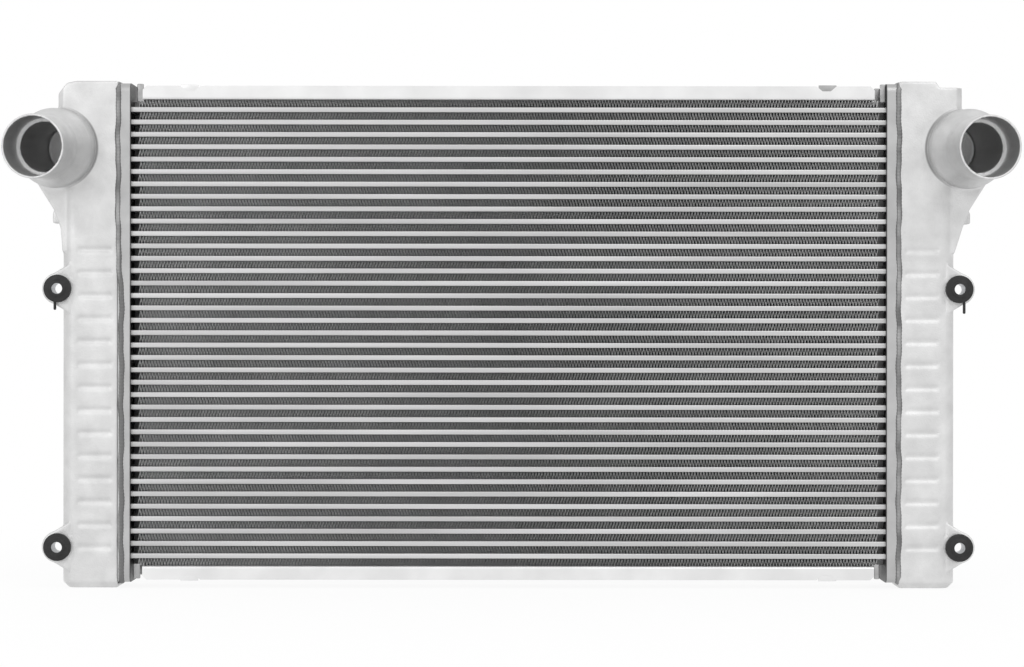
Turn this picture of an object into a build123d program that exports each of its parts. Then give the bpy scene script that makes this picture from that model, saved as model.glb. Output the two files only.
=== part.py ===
from build123d import *
import os
from math import cos, radians, sin

# Charge-air cooler: a brazed core of flat tubes and folded air fins between two cast end tanks.
# The origin is the centre of the four isolator bolts. Seen from the front +X is right, +Z is up,
# and the hose spigots face the viewer, towards -Y. Lengths are in millimetres.

os.makedirs("parts", exist_ok=True)

# Core: tubes and fins stacked alternately, a fin at each end of the stack
core_y = 26.5  # the core's middle lies behind and above the centre of the bolt pattern
core_z = 85.0
tube_count = 37
tube_height = 5.2
tube_depth = 56.0
tube_length = 766.0
tube_wall = 0.5
tube_nose = 2.0  # wall at the rounded front and back noses
tube_nose_bevel = 1.6
fin_height = 7.2
fin_depth = 54.0
fin_length = 738.0
row_pitch = tube_height + fin_height
core_half = (tube_count * tube_height + (tube_count + 1) * fin_height) / 2

# Turbulators: folded strips inside the tubes, touching the upper and lower wall
turbulator_length = 750.0
turbulator_leg = 16.0  # width of one slope of the folds
turbulator_legs = 3
turbulator_sheet = 0.4

# Headers: slotted trays that the tube ends pass through
header_x = 377.5  # face towards the fins
header_sheet = 2.5
header_rim = 12.5
header_depth = 65.0
header_height = 499.0
header_corner = 8.0
header_inner_corner = 3.2

# Side plates: channels that close the stack above and below
plate_length = 732.0
plate_depth = 56.0
plate_sheet = 2.0
plate_flange = 14.0
plate_fold = 3.0
plate_end_bevel = 4.0
notch_x = 318.0
notch_width = 32.0
notch_depth = 5.0

# End tanks, measured from the middle of the core, for the right-hand one
seam_x = header_x + header_rim
tank_x = 446.0  # outer flank of the long trough
tank_depth = 66.0
tank_corner = 14.0
tank_wall = 5.0
tank_top = 251.5
tank_bottom = -255.0
tank_foot_bevel = 6.0
plenum_bevel = 5.0
flute_count = 14
flute_pitch = 22.85
flute_top = 82.8
flute_width = 8.0
flute_depth = 1.8
flute_start = 396.0
flute_end = 430.0

# Hose port: a round lobe behind a neck that leans outwards and a little down
port_x = {"left": 453.5, "right": 459.5}
port_z = 184.3
port_base_y = -40.0
lobe_radius = 38.0
lobe_bevel = 14.0
lean_out = 9.0
lean_down = 2.0
neck_length = 70.0
neck_root = -14.0
neck_flange_radius = 39.5
neck_flange = 2.0
spigot_radius = 31.75
spigot_start = 24.0
bore_radius = 29.3
bore_step = 30.0  # height above the base where the bore widens
throat_radius = 24.5
throat_depth = 62.0  # below the base, where the throat has run into the plenum

# Shoulder above each port, from the end of the tank's flat top to the outer corner
shoulder = {
    "left": ((432.0, 251.5), (441.0, 249.5), (450.5, 239.0)),
    "right": ((427.0, 251.5), (430.0, 245.5), (453.5, 245.5)),
}
shoulder_bevel = 6.0

# Flank under each port, out from the port's axis and up from the core's middle, down into the trough
flank_points = ((19.5, 151.7), (1.3, 123.0), (-5.5, 105.0))
flank_end = 80.0
flank_radii = (4.0, 14.0, 8.0)
flank_recess = 4.0  # behind the tank's faces
lug_width = 10.0  # casting lug at the flank's narrowest place
lug_height = 12.0
lug_depth = 20.0
lug_place = (0.0, 116.0)

# Isolators: rubber grommets on steel sleeves, in ears on the tanks' flanks
bolt_spacing_x = 900.0
bolt_spacing_z = 258.0
ear_radius = 16.0
ear_front = -33.0
ear_thickness = 14.0
ear_hole_radius = 10.0
ear_gusset = 25.0
scallop_radius = 16.5
scallop_wall = 4.5
grommet_flange_radius = 13.8
grommet_flange = 6.0
grommet_lip_radius = 13.0
grommet_lip = 5.0
grommet_neck_radius = 9.9
sleeve_radius = 7.0
sleeve_bore_radius = 5.25
sleeve_length = 27.0
grommet_bore_radius = sleeve_radius + 0.05


def save(piece, name):
    """Label a finished piece and write its STEP file."""
    piece.part.label = name
    export_step(piece.part, f"parts/{name}.step")


def across_core(x, z=0.0):
    """Plane across the core at x: its own x runs along Y, its own y along Z from height z of the core."""
    return Plane(origin=(x, core_y, core_z + z), x_dir=(0, 1, 0), z_dir=(1, 0, 0))


def seen_from_front(y=0.0):
    """Plane facing the front, y behind the core's middle: its own x runs along X, its own y along Z."""
    return Plane(origin=(0, core_y + y, core_z), x_dir=(1, 0, 0), z_dir=(0, -1, 0))


# ---- Tubes --------------------------------------------------------------------------------------------------------

with BuildSketch() as tube_outline:
    Rectangle(tube_depth, tube_height)
    chamfer(tube_outline.vertices(), tube_nose_bevel)

for number in range(1, tube_count + 1):
    tube_z = ((tube_count + 1) / 2 - number) * row_pitch
    with BuildPart() as tube:
        with BuildSketch(across_core(-tube_length / 2, tube_z)):
            add(tube_outline.sketch)
            Rectangle(tube_depth - 2 * tube_nose, tube_height - 2 * tube_wall, mode=Mode.SUBTRACT)
        extrude(amount=tube_length)
    save(tube, f"tube_{number:02d}")

# ---- Turbulators: one zigzag section in every tube ----------------------------------------------------------------

zigzag_high = tube_height / 2 - tube_wall
zigzag_low = turbulator_sheet - zigzag_high
zigzag = [
    ((fold - turbulator_legs / 2) * turbulator_leg, (zigzag_low, zigzag_high)[fold % 2])
    for fold in range(turbulator_legs + 1)
]

with BuildPart() as turbulators:
    with BuildSketch(across_core(-turbulator_length / 2)):
        with GridLocations(1, row_pitch, 1, tube_count):
            Polygon(*zigzag, *[(y, z - turbulator_sheet) for y, z in reversed(zigzag)], align=None)
    extrude(amount=turbulator_length)
save(turbulators, "turbulators")

# ---- Air fins: each strip is drawn as the closed envelope of its fine folds ---------------------------------------

with BuildPart() as air_fins:
    with BuildSketch(across_core(-fin_length / 2)):
        with GridLocations(1, row_pitch, 1, tube_count + 1):
            Rectangle(fin_depth, fin_height)
    extrude(amount=fin_length)
save(air_fins, "air_fins")

# ---- Headers: pressed trays with a slot for each tube -------------------------------------------------------------

for side, sign in (("left", -1), ("right", 1)):
    with BuildPart() as header:
        with BuildSketch(across_core(sign * header_x)):
            RectangleRounded(header_depth, header_height, header_corner)
        extrude(amount=sign * header_rim)
        with BuildSketch(across_core(sign * (header_x + header_sheet))):
            tray = Rectangle(header_depth - 2 * header_sheet, header_height - 2 * header_sheet)
            chamfer(tray.vertices(), header_inner_corner)
        extrude(amount=sign * header_rim, mode=Mode.SUBTRACT)
        with BuildSketch(across_core(sign * header_x)):
            with GridLocations(1, row_pitch, 1, tube_count):
                Rectangle(tube_depth, tube_height)
        extrude(amount=sign * header_sheet, mode=Mode.SUBTRACT)
    save(header, f"header_{side}")

# ---- Side plates: folded channels, open away from the core --------------------------------------------------------

for place, sign in (("top", 1), ("bottom", -1)):
    with BuildPart() as plate:
        with BuildSketch(across_core(-plate_length / 2, sign * core_half)):
            with BuildLine():
                FilletPolyline(
                    (-plate_depth / 2, sign * plate_flange),
                    (-plate_depth / 2, 0),
                    (plate_depth / 2, 0),
                    (plate_depth / 2, sign * plate_flange),
                    radius=plate_fold,
                )
                offset(amount=plate_sheet, side=Side.LEFT if sign > 0 else Side.RIGHT)
            make_face()
        extrude(amount=plate_length)
        flange_ends = plate.edges().filter_by(Axis.Y).sort_by(Axis.Z, reverse=sign > 0)[0:4]
        chamfer(flange_ends, plate_end_bevel)
        with BuildSketch(seen_from_front(-plate_depth / 2)):
            with Locations(*[(x, sign * (core_half + plate_flange)) for x in (-notch_x, notch_x)]):
                Trapezoid(notch_width, 2 * notch_depth, 40, rotation=0 if sign < 0 else 180)
        extrude(amount=-2 * plate_sheet, mode=Mode.SUBTRACT)
    save(plate, f"side_plate_{place}")

# ---- End tanks ----------------------------------------------------------------------------------------------------

neck_direction = Vector(
    sin(radians(lean_out)), -cos(radians(lean_out)) * cos(radians(lean_down)), -sin(radians(lean_down))
).normalized()
neck_radial = neck_direction.cross(Vector(1, 0, 0)).normalized()
ears = [(bolt_spacing_x / 2, z - core_z) for z in (bolt_spacing_z / 2, -bolt_spacing_z / 2)]


for side in ("left", "right"):
    # the plenum, bevelled along its outer edges, with a pocket left solid behind each ear
    with BuildPart() as plenum:
        with BuildSketch(Plane((0, core_y, core_z + tank_bottom + tank_wall))) as section:
            with Locations(((seam_x + tank_x - tank_wall) / 2, 0)):
                Rectangle(tank_x - tank_wall - seam_x, tank_depth - 2 * tank_wall)
            chamfer(section.vertices().group_by(Axis.X)[-1], plenum_bevel)
        extrude(amount=tank_top - tank_bottom - 2 * tank_wall)
        with BuildSketch(seen_from_front()):
            with Locations(*ears):
                Rectangle(2 * (scallop_radius + scallop_wall), 2 * (scallop_radius + scallop_wall))
        extrude(amount=tank_depth, both=True, mode=Mode.SUBTRACT)

    port = (port_x[side], port_z)
    neck_base = Vector(port_x[side], core_y + port_base_y, core_z + port_z)
    neck_axis = Axis(neck_base, neck_direction)
    neck_section = Plane(origin=neck_base, x_dir=neck_radial, z_dir=neck_radial.cross(neck_direction))
    shoulder_x = shoulder[side][-1][0]

    with BuildPart() as tank:
        # round lobe behind the neck, bevelled at the back
        with BuildSketch(seen_from_front(tank_depth / 2)):
            with Locations(port):
                Circle(lobe_radius)
        extrude(amount=tank_depth)
        chamfer(tank.edges().sort_by(Axis.Y)[-1], lobe_bevel)
        # shoulder with bevelled outer corners
        with BuildSketch(seen_from_front()):
            Polygon((seam_x, tank_top), *shoulder[side], (shoulder_x, port_z), (seam_x, port_z), align=None)
        extrude(amount=tank_depth / 2, both=True)
        chamfer(tank.edges().filter_by(Axis.Z).group_by(Axis.X)[-1], shoulder_bevel)
        # long trough with rounded outer corners
        with BuildSketch(Plane((0, core_y, core_z + tank_bottom))) as section:
            with Locations(((seam_x + tank_x) / 2, 0)):
                Rectangle(tank_x - seam_x, tank_depth)
            fillet(section.vertices().group_by(Axis.X)[-1], tank_corner)
        extrude(amount=port_z - tank_bottom)
        chamfer(tank.faces().sort_by(Axis.Z)[0].edges().sort_by(Axis.X)[1:], tank_foot_bevel)
        # flank that runs from under the lobe down into the trough, with its lug
        flank = [(port_x[side] + out, height) for out, height in flank_points]
        with BuildSketch(seen_from_front()):
            with BuildLine():
                FilletPolyline(port, *flank, (tank_x, flank_end), radius=flank_radii)
                Polyline((tank_x, flank_end), (seam_x, flank_end), (seam_x, port_z), port)
            make_face()
        extrude(amount=tank_depth / 2 - flank_recess, both=True)
        with BuildSketch(seen_from_front()):
            with Locations((port_x[side] + lug_place[0], lug_place[1])):
                Rectangle(lug_width, lug_height)
        extrude(amount=lug_depth / 2, both=True)
        # neck
        with BuildSketch(neck_section):
            Polygon(
                (0, neck_root),
                (neck_flange_radius, neck_root),
                (neck_flange_radius, neck_flange),
                (spigot_radius, spigot_start),
                (spigot_radius, neck_length),
                (0, neck_length),
                align=None,
            )
        revolve(axis=neck_axis)
        # ears, each a round boss with gussets to the flank
        with BuildSketch(seen_from_front(ear_front)):
            for x, z in ears:
                with Locations((x, z)):
                    Circle(ear_radius)
                gusset = ((tank_x - 8, ear_gusset), (x + 9, 12.5), (x + 9, -12.5), (tank_x - 8, -ear_gusset))
                with Locations((0, z)):
                    Polygon(*gusset, align=None)
        extrude(amount=-ear_thickness)
        # hollow, bore, bolt clearance and ear holes
        add(plenum.part, mode=Mode.SUBTRACT)
        with BuildSketch(neck_section):
            Polygon(
                (0, -throat_depth),
                (throat_radius, -throat_depth),
                (throat_radius, bore_step),
                (bore_radius, bore_step),
                (bore_radius, neck_length),
                (0, neck_length),
                align=None,
            )
        revolve(axis=neck_axis, mode=Mode.SUBTRACT)
        with BuildSketch(seen_from_front(ear_front + ear_thickness)):
            with Locations(*ears):
                Circle(scallop_radius)
        extrude(amount=-tank_depth, mode=Mode.SUBTRACT)
        with BuildSketch(seen_from_front(ear_front)):
            with Locations(*ears):
                Circle(ear_hole_radius)
        extrude(amount=-ear_thickness, mode=Mode.SUBTRACT)
        # shallow flutes across the front face
        flute_middle = flute_top - flute_pitch * (flute_count - 1) / 2
        with BuildSketch(across_core(flute_start)):
            with Locations((-tank_depth / 2, flute_middle)):
                with GridLocations(1, flute_pitch, 1, flute_count):
                    Polygon((0, -flute_width / 2), (flute_depth, 0), (0, flute_width / 2), align=None)
        extrude(amount=flute_end - flute_start, mode=Mode.SUBTRACT)
        if side == "left":
            mirror(about=Plane.YZ, mode=Mode.REPLACE)
    save(tank, f"tank_{side}")

# ---- Isolators: each grommet snaps into its ear from the front, with a steel sleeve through it --------------------

ear_face = core_y + ear_front
grommet_front = ear_face - grommet_flange
lip_front = ear_face + ear_thickness
grommet_back = lip_front + grommet_lip
isolator_places = [(x / 2, 0, z / 2) for x in (-bolt_spacing_x, bolt_spacing_x) for z in (-bolt_spacing_z, bolt_spacing_z)]

with BuildPart() as grommet:
    with BuildSketch():
        Polygon(
            (grommet_bore_radius, grommet_front),
            (grommet_flange_radius, grommet_front),
            (grommet_flange_radius, ear_face),
            (grommet_neck_radius, ear_face),
            (grommet_neck_radius, lip_front),
            (grommet_lip_radius, lip_front),
            (grommet_bore_radius, grommet_back),
            align=None,
        )
    revolve(axis=Axis.Y)

with BuildPart() as grommets:
    with Locations(*isolator_places):
        add(grommet.part)
save(grommets, "isolator_grommets")

with BuildPart() as sleeves:
    with BuildSketch(Plane.XZ.offset(sleeve_length / 2)):
        with GridLocations(bolt_spacing_x, bolt_spacing_z, 2, 2):
            Circle(sleeve_radius)
            Circle(sleeve_bore_radius, mode=Mode.SUBTRACT)
    extrude(amount=-sleeve_length)
save(sleeves, "isolator_sleeves")
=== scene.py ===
from math import cos, pi, radians, sin

import bpy
import numpy as np
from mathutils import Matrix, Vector


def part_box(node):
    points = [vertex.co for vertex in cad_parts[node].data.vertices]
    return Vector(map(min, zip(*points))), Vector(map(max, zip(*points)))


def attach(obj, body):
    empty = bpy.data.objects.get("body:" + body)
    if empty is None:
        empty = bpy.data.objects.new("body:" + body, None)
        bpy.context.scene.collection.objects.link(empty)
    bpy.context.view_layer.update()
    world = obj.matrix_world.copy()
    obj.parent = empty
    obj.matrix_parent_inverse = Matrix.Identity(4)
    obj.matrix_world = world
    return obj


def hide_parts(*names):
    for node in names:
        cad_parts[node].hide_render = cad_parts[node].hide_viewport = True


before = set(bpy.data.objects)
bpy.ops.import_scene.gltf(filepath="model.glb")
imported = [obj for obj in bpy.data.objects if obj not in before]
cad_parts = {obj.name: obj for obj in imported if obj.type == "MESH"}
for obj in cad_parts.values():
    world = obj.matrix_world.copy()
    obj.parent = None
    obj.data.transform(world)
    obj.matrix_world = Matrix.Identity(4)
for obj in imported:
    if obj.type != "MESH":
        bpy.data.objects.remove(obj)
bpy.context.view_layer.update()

# A charge-air cooler: flat tubes and folded air fins between two cast end tanks. Lengths are in metres,
# +X runs right along the tubes, +Z is up, and the hose spigots face -Y.

mm = 0.001
rng = np.random.default_rng(7)

# The core, read from the frame
tube_names = sorted(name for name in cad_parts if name.startswith("tube_"))
tube_boxes = [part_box(name) for name in tube_names]
fins_low, fins_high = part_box("air_fins")
header_low, header_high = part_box("header_right")
plate_low, plate_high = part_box("side_plate_top")
core_y = (fins_low.y + fins_high.y) / 2
core_z = (fins_low.z + fins_high.z) / 2
core_front = tube_boxes[0][0].y

# Air fins: one thin strip folded into steep legs, which sway to both sides on their way back through the core
leg_pitch = 1.5 * mm
fin_stock = 0.12 * mm
fin_gap = 0.05 * mm  # between a strip and the tube or plate above and below it
fin_reach = 2.5 * mm  # the folded strips end this much nearer to the headers than their envelopes
fin_sway = 3.6 * mm
sway_places = (0.4, 0.6)  # shares of the depth at which the legs lean furthest to the right and to the left
straight_depth = 10 * mm  # the legs don't sway this near to the front and the back
splay = header_low.x - fins_high.x - fin_reach + leg_pitch  # how far the last leg spreads towards the header
splay_length = 9 * mm  # the legs within this length of a strip's end spread
splay_depth = 20 * mm  # behind the front, where the spread is complete

# Tubes: a flat middle between blunt noses
tube_sides = 36
nose_depth = 1.5 * mm
nose_power = 0.6  # 1 would give half an ellipse, and less is blunter
tube_wall = 0.5 * mm
tube_nose_wall = 2.0 * mm

# Weld bead round each header's rim
seam_x = header_high.x
header_corner = 8 * mm
bead_points, bead_sides = 2400, 14
bead_radius = 2.1 * mm
bead_half_width, bead_rise = 1.25, 0.8  # in radii
bead_ripple = 0.12 * mm
ripple_pitch = 3.4 * mm
bead_waves = ((0.5 * mm, 17, 0), (0.3 * mm, 41, 1))  # reach, number of waves round the rim, phase in radians
bead_drift = 3.4 * mm  # how far the left bead creeps towards the core on its way down
drift_start, drift_height = 185 * mm, 70 * mm

# Hose ports, as in the solids
port_x = {"left": -453.5 * mm, "right": 459.5 * mm}
port_base = (core_y - 40 * mm, core_z + 184.3 * mm)
lean_out, lean_down = radians(9), radians(2)
bore_radius = 29.3 * mm
foot_radius = 41 * mm
throat_bottom = -60 * mm

# Where each patch of painted shade, and the turned skin of the bore, begins and where it is full
bore_fade = (bore_radius + 0.9 * mm, bore_radius + 0.3 * mm)  # from the port's axis
throat_fade = (throat_bottom, throat_bottom + 1 * mm)  # along the port's axis
foot_shade_fade = (1.7 * mm, 0.5 * mm)  # from the neck's foot
foot_shade_side_fade = (5 * mm, 38 * mm)  # from the port's axis towards the core
core_face_shade_fade = (header_low.x + 1.0 * mm, header_low.x + 0.3 * mm)
bead_foot_shade_fade = (1.0 * mm, 2.6 * mm)  # from the seam

# End tanks: copies of the solids with worn edges. A web closes the step in the right tank's shoulder, which
# the plenum inside would otherwise break through.
tank_voxel = 1.15 * mm
merge_distance = 0.01 * mm
smooth_factor, smooth_rounds = 0.5, 5
kept_share = 0.45  # of the remeshed triangles
web_start, web_end = 424 * mm, 444.5 * mm
web_half_depth = 31 * mm
web_bottom, web_top = 240.5 * mm, 245.5 * mm  # above the core's middle

# Side plates' end tabs, in the corners between the plates' ends and the headers
tab_spans = {
    "top_left": (-371.6 * mm, -365.0 * mm),
    "top_right": (371.4 * mm, 377.4 * mm),
    "bottom_left": (-375.4 * mm, -368.0 * mm),
    "bottom_right": (366.0 * mm, 371.4 * mm),
}
tabs_top, tabs_bottom = 334 * mm, -161 * mm
tab_lap = 2 * mm  # over the outermost fin strips
tab_thickness, tab_inset = 2.5 * mm, 1 * mm
tab_edge, tab_edge_steps = 0.45, 3  # width of the rounding as a share of the thinnest side, and its steps

# Side plates' tongues, one in each notch of the plates' front and back rims
tongue_x = 319 * mm
tongue_heights = {"top": (326.6 * mm, 333 * mm), "bottom": (-163 * mm, -156.6 * mm)}
tongue_half_width = 9 * mm
tongue_thickness, tongue_inset = 1 * mm, 0.3 * mm

# Isolators: a rubber cap over the sleeve's front end, a flange before the ear, a neck in it, a lip behind it
bolt_x, bolt_z = 450 * mm, 129 * mm
sleeve_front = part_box("isolator_sleeves")[0].y
grommet_front, grommet_back = (corner.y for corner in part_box("isolator_grommets"))
flange_thickness, lip_thickness = 6 * mm, 5 * mm
ear_front, ear_back = grommet_front + flange_thickness, grommet_back - lip_thickness
turn_steps = 48
cap_hole, cap_flat, cap_foot = 5.4 * mm, 7.6 * mm, 9.2 * mm  # radii
cap_thickness, cap_clearance = 0.5 * mm, 0.02 * mm
flange_radius, flange_fall = 13.8 * mm, 0.4 * mm
neck_radius, lip_radius, sleeve_hole = 9.9 * mm, 13.0 * mm, 7.05 * mm
grommet_edge, edge_steps = 0.9 * mm, 4
longest_curve = 0.45  # of a side of the outline

# Moulded nibs under the two upper grommets: the middle and the lower end of each
nib_places = {"left": (-452.4 * mm, 107.5 * mm), "right": (454.6 * mm, 104.5 * mm)}
nib_half_width = 1.4 * mm
nib_front, nib_back = grommet_front + 1.5 * mm, grommet_front + 4.5 * mm
nib_top = bolt_z - 12.5 * mm

# ---- Mesh helpers ----


def mesh_piece(name, vertices, faces, smooth=True):
    """An object at the origin with the given vertices and equal-sided faces."""
    mesh = bpy.data.meshes.new(name)
    mesh.vertices.add(len(vertices))
    mesh.vertices.foreach_set("co", np.asarray(vertices, np.float32).ravel())
    sides = faces.shape[1]
    mesh.loops.add(faces.size)
    mesh.loops.foreach_set("vertex_index", faces.ravel().astype(np.int32))
    mesh.polygons.add(len(faces))
    mesh.polygons.foreach_set("loop_start", np.arange(0, faces.size, sides, dtype=np.int32))
    mesh.polygons.foreach_set("use_smooth", np.full(len(faces), smooth))
    mesh.update(calc_edges=True)
    piece = bpy.data.objects.new(name, mesh)
    bpy.context.scene.collection.objects.link(piece)
    return piece


def grid_faces(rows, columns, closed_columns=False):
    """One quad between each four neighbours of a grid of points numbered row by row.

    The last row always joins the first one, and the last column does where closed_columns says so.
    """
    index = np.arange(rows * columns).reshape(rows, columns)
    index = np.vstack([index, index[:1]])
    if closed_columns:
        index = np.hstack([index, index[:, :1]])
    quads = np.stack([index[:-1, :-1], index[1:, :-1], index[1:, 1:], index[:-1, 1:]], axis=-1)
    return quads.reshape(-1, 4)


def ring_surface(name, points):
    """A smooth mesh through a grid of points of the shape (rows, columns, 3), closed in both directions."""
    faces = grid_faces(*points.shape[:2], closed_columns=True)
    return mesh_piece(name, points.reshape(-1, 3), faces)


def box_corners(low, high):
    """The eight corners of a box and its six sides, facing outwards."""
    corner = np.array([(i, j, k) for i in (0, 1) for j in (0, 1) for k in (0, 1)])
    sides = np.array([(0, 1, 3, 2), (4, 6, 7, 5), (0, 4, 5, 1), (2, 3, 7, 6), (0, 2, 6, 4), (1, 5, 7, 3)])
    return low + corner * (high - low), sides


def smooth_step(value):
    """0 below 0, 1 above 1, and a smooth S between."""
    value = np.clip(value, 0, 1)
    return value * value * (3 - 2 * value)


def place(piece, material, slot, *nodes):
    """Give a piece its material, let it ride on the body and stand for the named nodes. The slot is not used.
    """
    piece.data.materials.clear()
    piece.data.materials.append(material)
    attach(piece, "root")
    if nodes:
        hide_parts(*nodes)
    return piece


def apply_modifiers(piece):
    """Replace a piece's mesh by what its modifiers make of it."""
    evaluated = piece.evaluated_get(bpy.context.evaluated_depsgraph_get())
    finished = bpy.data.meshes.new_from_object(evaluated)
    piece.modifiers.clear()
    piece.data = finished


# ---- Materials ----

# Sockets of a Mix node that mixes colours: the share, the colour at 0, the colour at 1, and the result
share, at_none, at_full, mixed = 0, 6, 7, 2
patch_low, patch_high = 0.3, 0.7  # most of a noise pattern lies between these
grain_spread = 0.07  # of a metal's roughness, to both sides


def linear(code):
    """Linear colour of an sRGB hex code."""
    channels = np.array([int(code[i : i + 2], 16) for i in (1, 3, 5)]) / 255
    curve = np.where(channels <= 0.04045, channels / 12.92, ((channels + 0.055) / 1.055) ** 2.4)
    return (*curve.tolist(), 1.0)


def node(owner, kind, settings, inputs):
    """Add a node to a material or world, with its properties set.

    Its inputs are filled from values or from other nodes' outputs.
    """
    made = owner.node_tree.nodes.new(kind)
    for key, value in settings.items():
        setattr(made, key, value)
    for key, value in inputs.items():
        if isinstance(value, bpy.types.NodeSocket):
            owner.node_tree.links.new(value, made.inputs[key])
        else:
            made.inputs[key].default_value = value
    return made


def new_material(name):
    """A node material, its Principled BSDF and its object coordinates."""
    material = bpy.data.materials.new(name)
    material.use_nodes = True
    spot = node(material, "ShaderNodeTexCoord", {}, {}).outputs["Object"]
    return material, material.node_tree.nodes["Principled BSDF"], spot


def metal(name, dark, light, roughness, patch_mm, grain_mm, grain_depth_mm, drawn=1.0):
    """Metal finish: two greys in soft patches, with a fine grain in its roughness and relief.

    The patches are as many times longer along X as `drawn` says. The result is the material, its shader, its
    object coordinates and the output that holds its colour.
    """
    material, shader, spot = new_material(name)
    links = material.node_tree.links
    streaks = node(
        material, "ShaderNodeVectorMath", {"operation": "MULTIPLY"}, {0: spot, 1: (1 / drawn, 1.0, 1.0)}
    )
    patches = node(
        material,
        "ShaderNodeTexNoise",
        {},
        {"Vector": streaks.outputs[0], "Scale": 1 / (patch_mm * mm), "Detail": 3.0},
    )
    spread = node(
        material,
        "ShaderNodeMapRange",
        {},
        {"Value": patches.outputs["Fac"], "From Min": patch_low, "From Max": patch_high},
    )
    greys = node(
        material,
        "ShaderNodeMix",
        {"data_type": "RGBA"},
        {share: spread.outputs["Result"], at_none: linear(dark), at_full: linear(light)},
    )
    grain = node(
        material, "ShaderNodeTexNoise", {}, {"Vector": spot, "Scale": 1 / (grain_mm * mm), "Detail": 2.0}
    )
    rough = node(
        material,
        "ShaderNodeMapRange",
        {},
        {
            "Value": grain.outputs["Fac"],
            "To Min": roughness - grain_spread,
            "To Max": roughness + grain_spread,
        },
    )
    relief = node(
        material, "ShaderNodeBump", {}, {"Height": grain.outputs["Fac"], "Distance": grain_depth_mm * mm}
    )
    links.new(greys.outputs[mixed], shader.inputs["Base Color"])
    links.new(rough.outputs["Result"], shader.inputs["Roughness"])
    links.new(relief.outputs["Normal"], shader.inputs["Normal"])
    shader.inputs["Metallic"].default_value = 1.0
    return material, shader, spot, greys.outputs[mixed]


def neck_frame(side):
    """Base point and direction of a hose port's axis."""
    base = np.array([port_x[side], *port_base])
    out = sin(lean_out) * (-1 if side == "left" else 1)
    direction = np.array([out, -cos(lean_out) * cos(lean_down), -sin(lean_down)])
    return base, direction / np.linalg.norm(direction)


def cast_tank_material(side):
    """Sand-cast aluminium: matte, softly patchy and slightly grainy from the sand of the mould.

    Inside the port, within the bore's radius of its axis, the skin was turned clean and is an even light
    grey. A ring of painted shade lies in the corner round the neck's foot, on the side towards the core.
    """
    material, shader, spot, skin = metal(
        f"sand_cast_aluminium_{side}",
        "#D2D2D2",
        "#E2E2E2",
        roughness=0.55,
        patch_mm=22,
        grain_mm=1.4,
        grain_depth_mm=0.25,
    )
    base, direction = (part.tolist() for part in neck_frame(side))
    arm = node(material, "ShaderNodeVectorMath", {"operation": "SUBTRACT"}, {0: spot, 1: base}).outputs[0]
    crossed = node(material, "ShaderNodeVectorMath", {"operation": "CROSS_PRODUCT"}, {0: arm, 1: direction})
    length = node(material, "ShaderNodeVectorMath", {"operation": "LENGTH"}, {0: crossed.outputs[0]})
    radius = length.outputs["Value"]
    height = node(material, "ShaderNodeVectorMath", {"operation": "DOT_PRODUCT"}, {0: arm, 1: direction})
    inside = node(
        material,
        "ShaderNodeMapRange",
        {},
        {"Value": radius, "From Min": bore_fade[0], "From Max": bore_fade[1]},
    )
    above = node(
        material,
        "ShaderNodeMapRange",
        {},
        {"Value": height.outputs["Value"], "From Min": throat_fade[0], "From Max": throat_fade[1]},
    )
    bore = node(
        material,
        "ShaderNodeMath",
        {"operation": "MULTIPLY"},
        {0: inside.outputs["Result"], 1: above.outputs["Result"]},
    )
    turned_skin = node(
        material,
        "ShaderNodeMix",
        {"data_type": "RGBA"},
        {share: bore.outputs[0], at_none: skin, at_full: linear("#D6D6D6")},
    )
    # Painted shade: a dark ring in the corner round the neck's foot, darkest on the side towards the core
    off_ring = node(material, "ShaderNodeMath", {"operation": "SUBTRACT"}, {0: radius, 1: foot_radius})
    distance = node(material, "ShaderNodeMath", {"operation": "ABSOLUTE"}, {0: off_ring.outputs[0]})
    ring = node(
        material,
        "ShaderNodeMapRange",
        {},
        {"Value": distance.outputs[0], "From Min": foot_shade_fade[0], "From Max": foot_shade_fade[1]},
    )
    sideways = node(material, "ShaderNodeSeparateXYZ", {}, {0: arm})
    towards_core = -1 if side == "right" else 1
    inner = node(
        material,
        "ShaderNodeMapRange",
        {},
        {
            "Value": sideways.outputs["X"],
            "From Min": towards_core * foot_shade_side_fade[0],
            "From Max": towards_core * foot_shade_side_fade[1],
        },
    )
    foot_shade = node(
        material,
        "ShaderNodeMath",
        {"operation": "MULTIPLY"},
        {0: ring.outputs["Result"], 1: inner.outputs["Result"]},
    )
    whole = node(
        material,
        "ShaderNodeMix",
        {"data_type": "RGBA"},
        {share: foot_shade.outputs[0], at_none: turned_skin.outputs[mixed], at_full: linear("#8E8E8E")},
    )
    material.node_tree.links.new(whole.outputs[mixed], shader.inputs["Base Color"])
    return material


def header_material():
    """Pressed sheet of the headers, with painted shade on the face towards the core, in the gaps beside the
    fins' ends.
    """
    material, shader, spot, skin = metal(
        "brazed_header_sheet",
        "#B4B4B4",
        "#C6C6C6",
        roughness=0.45,
        patch_mm=30,
        grain_mm=2.5,
        grain_depth_mm=0.05,
    )
    along = node(material, "ShaderNodeSeparateXYZ", {}, {0: spot})
    outward = node(material, "ShaderNodeMath", {"operation": "ABSOLUTE"}, {0: along.outputs["X"]})
    # Painted shade: the face towards the core turns dark grey, for the shade in the gaps between it and the
    # fins' ends
    shaded_core_face = node(
        material,
        "ShaderNodeMapRange",
        {},
        {"Value": outward.outputs[0], "From Min": core_face_shade_fade[0], "From Max": core_face_shade_fade[1]},
    )
    whole = node(
        material,
        "ShaderNodeMix",
        {"data_type": "RGBA"},
        {share: shaded_core_face.outputs["Result"], at_none: skin, at_full: linear("#4A4A4A")},
    )
    material.node_tree.links.new(whole.outputs[mixed], shader.inputs["Base Color"])
    return material


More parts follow.
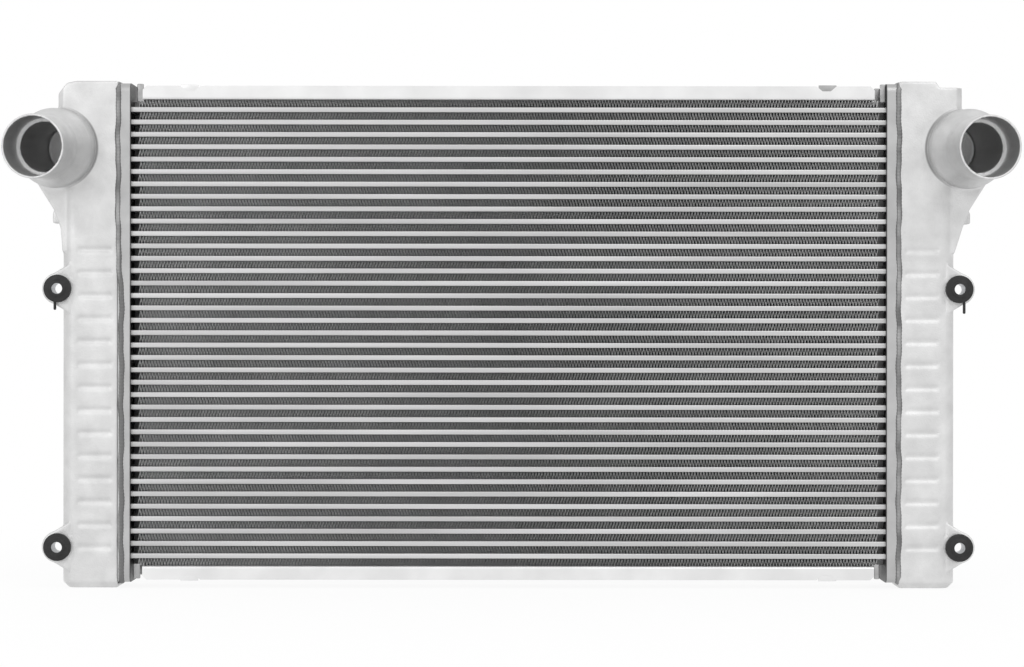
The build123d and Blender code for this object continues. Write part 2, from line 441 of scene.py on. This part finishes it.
def weld_material():
    """Weld bead: aluminium filler, dulled by the arc and painted darker for the shade of the groove it lies
    in, with painted shade along both of its feet.
    """
    material, shader, spot, skin = metal(
        "weld_bead_aluminium",
        "#747474",
        "#AEAEAE",
        roughness=0.5,
        patch_mm=25,
        grain_mm=1.5,
        grain_depth_mm=0.3,
    )
    # Painted shade along both feet of the bead, where it meets the tank and the header
    along = node(material, "ShaderNodeSeparateXYZ", {}, {0: spot})
    outward = node(material, "ShaderNodeMath", {"operation": "ABSOLUTE"}, {0: along.outputs["X"]})
    from_seam = node(
        material, "ShaderNodeMath", {"operation": "SUBTRACT"}, {0: outward.outputs[0], 1: seam_x}
    )
    distance = node(material, "ShaderNodeMath", {"operation": "ABSOLUTE"}, {0: from_seam.outputs[0]})
    shaded_feet = node(
        material,
        "ShaderNodeMapRange",
        {},
        {"Value": distance.outputs[0], "From Min": bead_foot_shade_fade[0], "From Max": bead_foot_shade_fade[1]},
    )
    whole = node(
        material,
        "ShaderNodeMix",
        {"data_type": "RGBA"},
        {share: shaded_feet.outputs["Result"], at_none: skin, at_full: linear("#787878")},
    )
    material.node_tree.links.new(whole.outputs[mixed], shader.inputs["Base Color"])
    return material


def moulded_rubber():
    """Black moulded rubber: nearly black and matte, with a faint bloom in patches."""
    material, shader, spot = new_material("moulded_black_rubber")
    links = material.node_tree.links
    bloom = node(
        material, "ShaderNodeTexNoise", {}, {"Vector": spot, "Scale": 1 / (6 * mm), "Detail": 4.0}
    )
    spread = node(
        material,
        "ShaderNodeMapRange",
        {},
        {"Value": bloom.outputs["Fac"], "From Min": 0.35, "From Max": 0.75},
    )
    greys = node(
        material,
        "ShaderNodeMix",
        {"data_type": "RGBA"},
        {share: spread.outputs["Result"], at_none: linear("#101010"), at_full: linear("#202020")},
    )
    grain = node(
        material, "ShaderNodeTexNoise", {}, {"Vector": spot, "Scale": 1 / (0.6 * mm), "Detail": 2.0}
    )
    relief = node(material, "ShaderNodeBump", {}, {"Height": grain.outputs["Fac"], "Distance": 0.05 * mm})
    links.new(greys.outputs[mixed], shader.inputs["Base Color"])
    links.new(relief.outputs["Normal"], shader.inputs["Normal"])
    shader.inputs["Roughness"].default_value = 0.55
    return material


# Brazed aluminium tube: drawn smooth, dulled and whitened in long patches by the furnace's flux
tube_aluminium = metal(
    "brazed_aluminium_tube",
    "#BCBCBC",
    "#D8D8D8",
    roughness=0.45,
    patch_mm=16,
    grain_mm=2.0,
    grain_depth_mm=0.05,
    drawn=20,
)[0]
# Fin stock: thin rolled aluminium under a matte film of brazing flux, which scatters more light than bare
# metal does
fin_aluminium, fin_shader = metal(
    "aluminium_fin_stock",
    "#DEDEDE",
    "#EEEEEE",
    roughness=0.6,
    patch_mm=60,
    grain_mm=3.0,
    grain_depth_mm=0.02,
)[:2]
fin_shader.inputs["Metallic"].default_value = 0.3
# Pressed aluminium sheet of the side plates: smooth and a little brighter
sheet_aluminium = metal(
    "pressed_aluminium_sheet",
    "#E2E2E2",
    "#F0F0F0",
    roughness=0.42,
    patch_mm=45,
    grain_mm=2.5,
    grain_depth_mm=0.05,
)[0]
# The plates' end tabs and two of their tongues: the same sheet in a darker grey
grey_sheet = metal(
    "darker_grey_sheet",
    "#A2A2A2",
    "#B8B8B8",
    roughness=0.5,
    patch_mm=8,
    grain_mm=2.5,
    grain_depth_mm=0.05,
)[0]
# Zinc plated steel sleeve: turned smooth, bluish grey
zinc_plated_steel = metal(
    "zinc_plated_steel",
    "#A9ABAE",
    "#B9BBBE",
    roughness=0.35,
    patch_mm=8,
    grain_mm=0.8,
    grain_depth_mm=0.03,
)[0]
black_rubber = moulded_rubber()

# ---- CAD nodes that keep their shape ----

finishes = {
    "turbulators": fin_aluminium,
    "header_": header_material(),
    "side_plate_": sheet_aluminium,
    "isolator_sleeves": zinc_plated_steel,
}
for name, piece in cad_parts.items():
    for start, finish in finishes.items():
        if name.startswith(start):
            piece.data.materials.clear()
            piece.data.materials.append(finish)

# ---- Tubes ----


def tube_section(half_depth, half_height):
    """Loop of points round a flat tube's section: a flat middle with a blunt nose at each end.

    Going round by an angle, a point lies half the depth less the nose from the middle, plus the nose times
    the cosine to the nose's power, and half the height times the sine to the same power above or below it.
    """
    angle = (np.arange(tube_sides) + 0.5) / tube_sides * 2 * pi
    reach = half_depth - nose_depth + nose_depth * np.abs(np.cos(angle)) ** nose_power
    across = np.sign(np.cos(angle)) * reach
    upward = half_height * np.sign(np.sin(angle)) * np.abs(np.sin(angle)) ** nose_power
    return across, upward


def flat_tube(name, low, high):
    """Hollow tube: the outer and the inner section carried between both ends, joined into one closed wall.

    A second loop of points just inside each end keeps the end's corner from bending the shading.
    """
    half_depth, half_height = (high.y - low.y) / 2, (high.z - low.z) / 2
    outer = tube_section(half_depth, half_height)
    inner = tube_section(half_depth - tube_nose_wall, half_height - tube_wall)
    there = np.array([low.x, low.x + tube_wall, high.x - tube_wall, high.x])
    stations = [*((x, outer) for x in there), *((x, inner) for x in there[::-1])]
    ring = np.empty((len(stations), tube_sides, 3))
    for row, (x, (across, upward)) in enumerate(stations):
        ring[row, :, 0] = x
        ring[row, :, 1] = core_y + across
        ring[row, :, 2] = (low.z + high.z) / 2 + upward
    return ring_surface(name, ring[::-1])


for number, (name, (low, high)) in enumerate(zip(tube_names, tube_boxes), start=1):
    place(flat_tube(f"flat_tube_{number:02d}", low, high), tube_aluminium, "tube_aluminium", name)

# ---- Air fins ----


def folded_fin(name, low, high, lead):
    """One air fin strip between the heights low and high.

    Point i of the fold stands at x = start + i * pitch and alternates between the bottom and the top. The
    same zigzag is carried back through the core and swayed to one side and then the other on the way, and
    the last legs at each end spread outwards behind the front. The lower and the upper skin are this sheet
    moved down and up by half its thickness measured upright. The lead shifts the whole strip along X.
    """
    legs = int((fins_high.x - fins_low.x + 2 * fin_reach - 2 * leg_pitch) / leg_pitch)
    upright = fin_stock * (high - low) / leg_pitch
    fold = np.arange(legs + 1)
    x = (fold - legs / 2) * leg_pitch + lead
    z = np.where(fold % 2 == 0, low + upright / 2, high - upright / 2)
    depth = fins_high.y - fins_low.y
    first, second = sway_places
    back = np.array([0, straight_depth, first * depth, second * depth, depth - straight_depth, depth])
    sway = fin_sway * np.array([0, 0, 1, -1, 0, 0])
    end = smooth_step((np.abs(x) - (x.max() - splay_length)) / splay_length)
    behind = smooth_step((back - straight_depth) / (splay_depth - straight_depth))
    sheet = np.empty((len(back), legs + 1, 3))
    sheet[..., 0] = x + splay * np.sign(x) * end * behind[:, None] + sway[:, None]
    sheet[..., 1] = fins_low.y + back[:, None]
    sheet[..., 2] = z
    rise = np.array([0, 0, upright / 2])
    skins = np.concatenate([sheet - rise, (sheet + rise)[::-1]])
    rows, columns = skins.shape[:2]
    row_starts = np.arange(rows) * columns
    lower, upper = row_starts[: rows // 2], row_starts[rows // 2 :][::-1]
    start_cap = np.stack([lower[:-1], upper[:-1], upper[1:], lower[1:]], axis=-1)
    end_cap = start_cap[:, ::-1] + columns - 1
    faces = np.concatenate([grid_faces(rows, columns), start_cap, end_cap])
    return mesh_piece(name, skins.reshape(-1, 3), faces, smooth=False)


tops = [fins_high.z, *[low.z for low, high in tube_boxes]]
bottoms = [*[high.z for low, high in tube_boxes], fins_low.z]
for number, (top, bottom) in enumerate(zip(tops, bottoms), start=1):
    lead = rng.uniform(-0.5, 0.5) * leg_pitch
    strip = folded_fin(f"air_fin_{number:02d}", bottom + fin_gap, top - fin_gap, lead)
    place(strip, fin_aluminium, "fin_aluminium", "air_fins")

# ---- End tanks ----


def tank_triangles(side):
    """Vertices and triangles of the tank's solid, and on the right the web's too, for the remesh to fuse."""
    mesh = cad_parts[f"tank_{side}"].data
    vertices = np.empty(len(mesh.vertices) * 3, np.float32)
    mesh.vertices.foreach_get("co", vertices)
    vertices = vertices.reshape(-1, 3)
    faces = np.empty(len(mesh.polygons) * 3, np.int32)
    mesh.polygons.foreach_get("vertices", faces)
    faces = faces.reshape(-1, 3)
    if side == "right":
        web_low = np.array([web_start, core_y - web_half_depth, core_z + web_bottom])
        web_high = np.array([web_end, core_y + web_half_depth, core_z + web_top])
        corners, sides = box_corners(web_low, web_high)
        halves = np.concatenate([sides[:, [0, 1, 2]], sides[:, [0, 2, 3]]]) + len(vertices)
        vertices, faces = np.concatenate([vertices, corners]), np.concatenate([faces, halves])
    return vertices, faces


def cast_tank(side):
    """The solid's copy with its sharp edges worn round: remeshed finely, smoothed and thinned."""
    piece = mesh_piece(f"cast_tank_{side}", *tank_triangles(side))
    weld = piece.modifiers.new("weld", "WELD")
    weld.merge_threshold = merge_distance
    remesh = piece.modifiers.new("remesh", "REMESH")
    remesh.mode = "VOXEL"
    remesh.voxel_size = tank_voxel
    remesh.use_smooth_shade = True
    soften = piece.modifiers.new("soften", "SMOOTH")
    soften.factor, soften.iterations = smooth_factor, smooth_rounds
    thin = piece.modifiers.new("thin", "DECIMATE")
    thin.ratio = kept_share
    apply_modifiers(piece)
    return place(piece, cast_tank_material(side), "cast_aluminium", f"tank_{side}")


for side in ("left", "right"):
    cast_tank(side)

# ---- Weld beads ----


def rim_path(count):
    """Points round the header's rim, their outward directions and their places along it.

    The rim is a rectangle with round corners: four straight sides and four quarter circles by turns.
    """
    half_y = (header_high.y - header_low.y) / 2 - header_corner
    half_z = (header_high.z - header_low.z) / 2 - header_corner
    middle = np.array([(header_high.y + header_low.y) / 2, (header_high.z + header_low.z) / 2])
    arc = header_corner * pi / 2
    sides = np.array([2 * half_z, arc, 2 * half_y, arc, 2 * half_z, arc, 2 * half_y, arc])
    ends = np.cumsum(sides)
    starts = ends - sides
    along = np.arange(count) / count * ends[-1]
    stretch = np.searchsorted(ends, along, side="right")
    run = along - starts[stretch]
    quarters = np.repeat([(1, 1), (-1, 1), (-1, -1), (1, -1)], 2, axis=0)
    centre = quarters[stretch] * np.array([half_y, half_z])
    turn = (stretch // 2) * pi / 2 + np.where(stretch % 2, run / header_corner, 0)
    outward = np.column_stack([np.cos(turn), np.sin(turn)])
    onward = np.column_stack([-np.sin(turn), np.cos(turn)])
    back = np.where(stretch % 2, 0, sides[stretch] - run)
    return middle + centre + header_corner * outward - onward * back[:, None], outward, along


def weld_bead(side):
    """An oval bead carried round the rim.

    Its radius is the mean plus a small sine ripple. It wanders sideways by the sum of a few slow sines, and
    the left one also drifts towards the core below a height, by a smooth step.
    """
    points, outward, along = rim_path(bead_points)
    sign = -1 if side == "left" else 1
    angle = np.arange(bead_sides) / bead_sides * 2 * pi
    round_rim = along / along[-1] * 2 * pi
    wander = sum(reach * np.sin(round_rim * waves + phase) for reach, waves, phase in bead_waves)
    if side == "left":
        wander = wander - bead_drift * smooth_step((drift_start - points[:, 1]) / drift_height)
    radius = (bead_radius + bead_ripple * np.sin(along / ripple_pitch * 2 * pi))[:, None]
    bead = np.empty((bead_points, bead_sides, 3))
    bead[..., 0] = sign * (seam_x + wander[:, None] + bead_half_width * radius * np.cos(angle))
    bead[..., 1:] = points[:, None] + (bead_rise * radius * np.sin(angle))[..., None] * outward[:, None]
    if side == "right":
        bead = bead[:, ::-1]
    return place(ring_surface(f"weld_bead_{side}", bead), weld_filler, "cast_aluminium")


weld_filler = weld_material()
for side in ("left", "right"):
    weld_bead(side)

# ---- Side plates' end tabs and tongues ----


def bent_tab(name, low, high, material, slot="sheet_aluminium"):
    """A small flat box between two corners, with its edges rounded."""
    low, high = np.array(low), np.array(high)
    piece = mesh_piece(name, *box_corners(low, high))
    soft = piece.modifiers.new("soft", "BEVEL")
    soft.width, soft.segments = tab_edge * float((high - low).min()), tab_edge_steps
    apply_modifiers(piece)
    return place(piece, material, slot)


def rim_faces(thickness, inset):
    """Where a tab's front face stands at the plates' front rim and at their back rim."""
    return ("front", plate_low.y + inset), ("back", plate_high.y - inset - thickness)


tab_heights = {"top": (fins_high.z - tab_lap, tabs_top), "bottom": (tabs_bottom, fins_low.z + tab_lap)}
for corner, (start, end) in tab_spans.items():
    bottom, top = tab_heights[corner.split("_")[0]]
    for face, front in rim_faces(tab_thickness, tab_inset):
        low, high = (start, front, bottom), (end, front + tab_thickness, top)
        bent_tab(f"end_tab_{corner}_{face}", low, high, grey_sheet)

for edge, (bottom, top) in tongue_heights.items():
    for side, middle in (("left", -tongue_x), ("right", tongue_x)):
        finish = grey_sheet if (edge, side) == ("top", "right") else sheet_aluminium
        for face, front in rim_faces(tongue_thickness, tongue_inset):
            low = (middle - tongue_half_width, front, bottom)
            high = (middle + tongue_half_width, front + tongue_thickness, top)
            bent_tab(f"tongue_{edge}_{side}_{face}", low, high, finish)

# ---- Isolators ----


def turned(name, profile, centre):
    """A profile of (radius, y) points carried round an axis along Y through the centre."""
    radius, y = profile.T
    angle = np.arange(turn_steps) / turn_steps * 2 * pi
    points = np.empty((len(angle), len(radius), 3))
    points[..., 0] = centre[0] + radius * np.cos(angle)[:, None]
    points[..., 1] = y
    points[..., 2] = centre[1] + radius * np.sin(angle)[:, None]
    return ring_surface(name, points)


def rounded(points, radius):
    """A closed outline with its corners rounded: each corner becomes a curve between its two sides."""
    points = np.asarray(points, float)
    before = np.roll(points, 1, axis=0) - points
    after = np.roll(points, -1, axis=0) - points
    reach = [
        np.minimum(radius / np.linalg.norm(side, axis=1), longest_curve)[:, None] * side
        for side in (before, after)
    ]
    along = np.linspace(0, 1, edge_steps)[None, :, None]
    start, end = ((points + side)[:, None] for side in reach)
    curve = (1 - along) ** 2 * start + 2 * along * (1 - along) * points[:, None] + along**2 * end
    return curve.reshape(-1, 2)


grommet_profile = rounded(
    [
        (cap_hole, sleeve_front - cap_thickness),
        (cap_flat, sleeve_front - cap_thickness),
        (cap_foot, grommet_front),
        (flange_radius, grommet_front + flange_fall),
        (flange_radius, ear_front),
        (neck_radius, ear_front),
        (neck_radius, ear_back),
        (lip_radius, ear_back),
        (sleeve_hole, grommet_back),
        (sleeve_hole, sleeve_front - cap_clearance),
        (cap_hole, sleeve_front - cap_clearance),
    ],
    grommet_edge,
)
for level, z in (("upper", bolt_z), ("lower", -bolt_z)):
    for side, x in (("left", -bolt_x), ("right", bolt_x)):
        grommet = turned(f"grommet_{level}_{side}", grommet_profile[::-1], (x, z))
        place(grommet, black_rubber, "black_rubber", "isolator_grommets")

for side, (middle, bottom) in nib_places.items():
    low = (middle - nib_half_width, nib_front, bottom)
    high = (middle + nib_half_width, nib_back, nib_top)
    bent_tab(f"grommet_nib_{side}", low, high, black_rubber, "black_rubber")

# ---- Floor, light and camera ----


def stage_floor():
    """A large pale floor just under the tanks' feet, white to the camera beyond the object's soft shadow."""
    size, below = 30.0, 0.5 * mm
    shadow_start, shadow_end = 0.5, 1.1  # from the middle: the shadow fades out between them
    glow_near, glow_far = 0.9, 1.0  # how much of the floor is plain white
    corners = np.array([(-size, -size), (size, -size), (size, size), (-size, size)])
    points = np.column_stack([corners, np.full(4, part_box("tank_right")[0].z - below)])
    floor = mesh_piece("floor", points, np.array([[0, 1, 2, 3]]))
    material, shader, spot = new_material("pale_floor")
    shader.inputs["Base Color"].default_value = linear("#F4F4F4")
    shader.inputs["Roughness"].default_value = 0.9
    white = node(material, "ShaderNodeEmission", {}, {"Strength": 1.0})
    ray = node(material, "ShaderNodeLightPath", {}, {})
    seen = node(
        material,
        "ShaderNodeMath",
        {"operation": "MAXIMUM"},
        {0: ray.outputs["Is Camera Ray"], 1: ray.outputs["Is Glossy Ray"]},
    )
    reach = node(material, "ShaderNodeVectorMath", {"operation": "LENGTH"}, {0: spot})
    far = node(
        material,
        "ShaderNodeMapRange",
        {},
        {
            "Value": reach.outputs["Value"],
            "From Min": shadow_start,
            "From Max": shadow_end,
            "To Min": glow_near,
            "To Max": glow_far,
        },
    )
    glow = node(
        material, "ShaderNodeMath", {"operation": "MULTIPLY"}, {0: seen.outputs[0], 1: far.outputs["Result"]}
    )
    whole = node(
        material, "ShaderNodeMixShader", {}, {0: glow.outputs[0], 1: shader.outputs[0], 2: white.outputs[0]}
    )
    surface = material.node_tree.nodes["Material Output"].inputs["Surface"]
    material.node_tree.links.new(whole.outputs[0], surface)
    floor.data.materials.append(material)


def lamp(name, position, target, width, height, power):
    """A rectangular soft lamp at a position, aimed at a target."""
    light = bpy.data.lights.new(name, "AREA")
    light.shape = "RECTANGLE"
    light.size, light.size_y = width, height
    light.energy = power
    holder = bpy.data.objects.new(name, light)
    bpy.context.scene.collection.objects.link(holder)
    holder.location = position
    holder.rotation_euler = (Vector(target) - Vector(position)).to_track_quat("-Z", "Y").to_euler()


def world_light(strength):
    """An even pale surround: white to the camera, at the given strength for light and reflections."""
    world = bpy.data.worlds.new("studio")
    bpy.context.scene.world = world
    world.use_nodes = True
    background = world.node_tree.nodes["Background"]
    background.inputs["Color"].default_value = (1, 1, 1, 1)
    ray = node(world, "ShaderNodeLightPath", {}, {})
    level = node(
        world,
        "ShaderNodeMapRange",
        {},
        {"Value": ray.outputs["Is Camera Ray"], "To Min": strength, "To Max": 1.0},
    )
    world.node_tree.links.new(level.outputs["Result"], background.inputs["Strength"])


stage_floor()
world_light(0.9)
lit_spot = (0, 0, 0.08)
lamp("key", (1.5, -2.2, 2.4), lit_spot, width=2.4, height=1.4, power=24)
lamp("fill", (-1.9, -2.2, 1.2), lit_spot, width=2.0, height=1.4, power=14)

# The camera stands level with the core's middle and looks along +Y. One image pixel is one millimetre at the
# front of the tubes, in an image of 1024 by 667 pixels.
image_width = 1024
camera_x, camera_z = 3.6 * mm, 84.5 * mm
camera_distance = 3.2
camera_roll = 0.06
sensor = 36.0
camera_data = bpy.data.cameras.new("camera")
camera_data.sensor_width = sensor
camera_data.lens = sensor * camera_distance / (image_width * mm)
camera = bpy.data.objects.new("camera", camera_data)
camera.location = (camera_x, core_front - camera_distance, camera_z)
camera.rotation_euler = (pi / 2, radians(-camera_roll), 0)
bpy.context.scene.collection.objects.link(camera)
bpy.context.scene.camera = camera
bpy.context.scene.view_settings.view_transform = "Standard"
